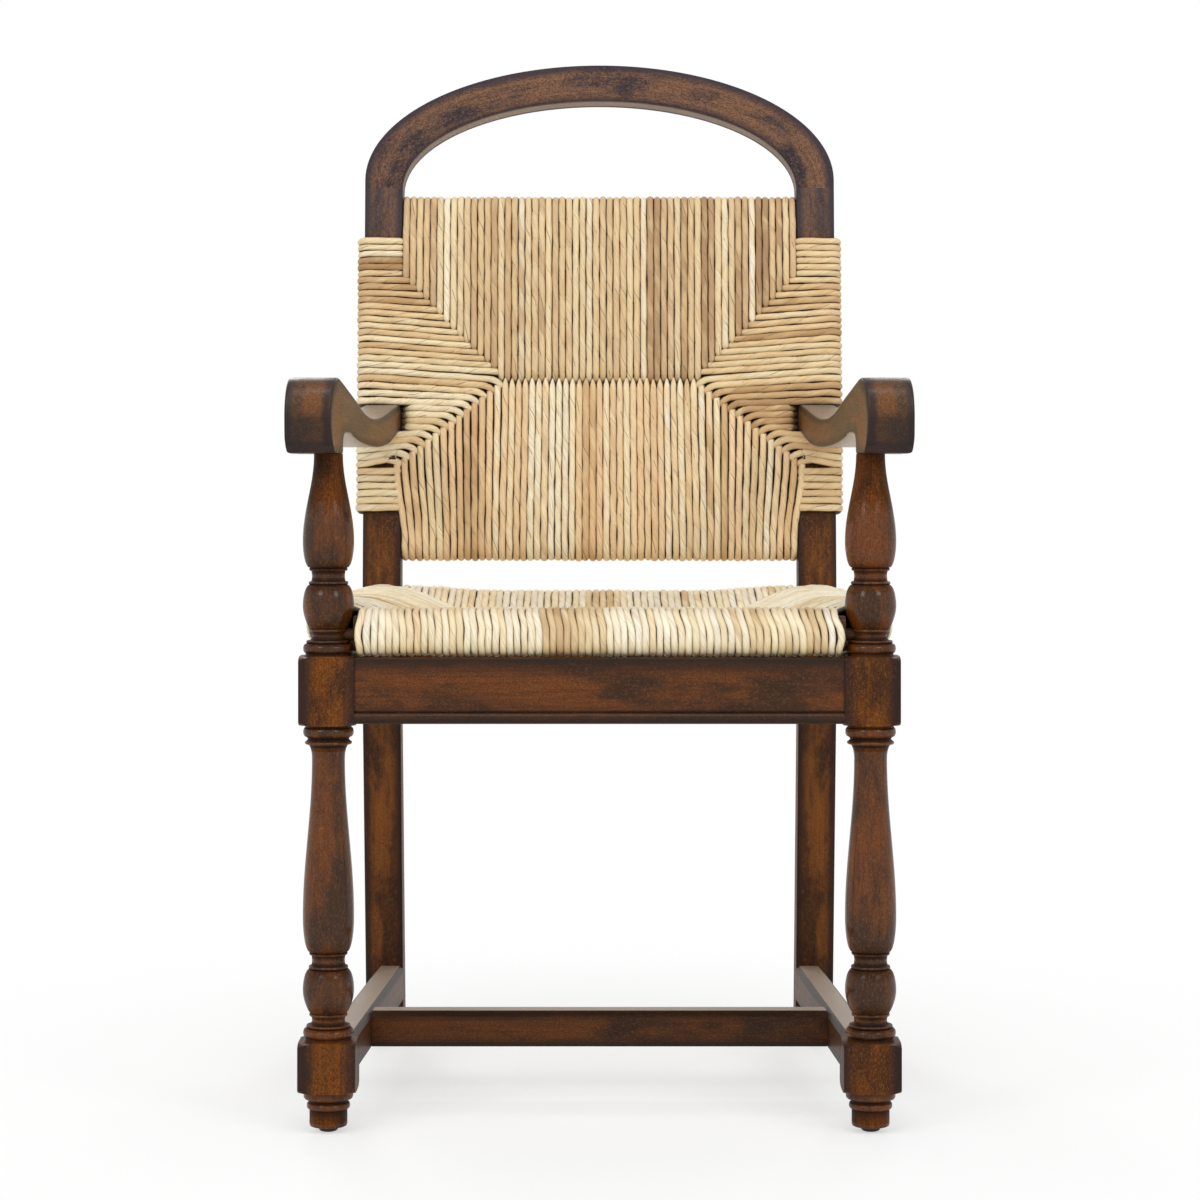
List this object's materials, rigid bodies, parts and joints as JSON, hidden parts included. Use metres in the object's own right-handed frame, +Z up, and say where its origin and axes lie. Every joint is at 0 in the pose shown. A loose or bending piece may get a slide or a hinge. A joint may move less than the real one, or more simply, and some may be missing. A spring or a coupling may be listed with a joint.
{
  "type": "rush-seated armchair",
  "caption": "Wooden armchair with turned front legs, scroll arms, an arched crest over a woven rush back, a woven rush seat and low stretchers.",
  "frame": {"origin": "on the floor, in the middle of the chair's width and depth", "axes": "+Z up, +X to the sitter's left across the chair, the chair faces -Y"},
  "size_m": [0.5908, 0.5534, 1.072],
  "materials": {
    "leg": "satin dark walnut stain, worn",
    "post": "satin dark walnut stain",
    "crest": "satin dark walnut stain, greyed",
    "arm": "satin dark walnut stain, worn",
    "apron": "satin dark walnut stain",
    "stretcher": "satin dark walnut stain, worn top",
    "rail": "bare sawn wood",
    "dowel": "bare turned wood",
    "seat_rush": "twisted natural rush",
    "back_rush": "twisted natural rush",
    "stuffing": "packed straw",
    "glide": "dark domed steel"
  },
  "bodies": {
    "root": {"front_leg_left": "leg", "front_leg_right": "leg", "back_post_left": "post", "back_post_right": "post", "crest_arch": "crest", "crest_dowels": "dowel", "arm_left": "arm", "arm_right": "arm", "back_top_rail": "rail", "back_bottom_rail": "rail", "front_apron": "apron", "rear_apron": "apron", "side_apron_left": "apron", "side_apron_right": "apron", "seat_rail_front": "rail", "seat_rail_rear": "rail", "seat_rail_left": "rail", "seat_rail_right": "rail", "side_stretcher_left": "stretcher", "side_stretcher_right": "stretcher", "cross_stretcher": "stretcher", "rush_seat": "seat_rush", "seat_stuffing": "stuffing", "rush_back": "back_rush", "glide_front_left": "glide", "glide_front_right": "glide", "glide_rear_left": "glide", "glide_rear_right": "glide"}
  },
  "joints": []
}
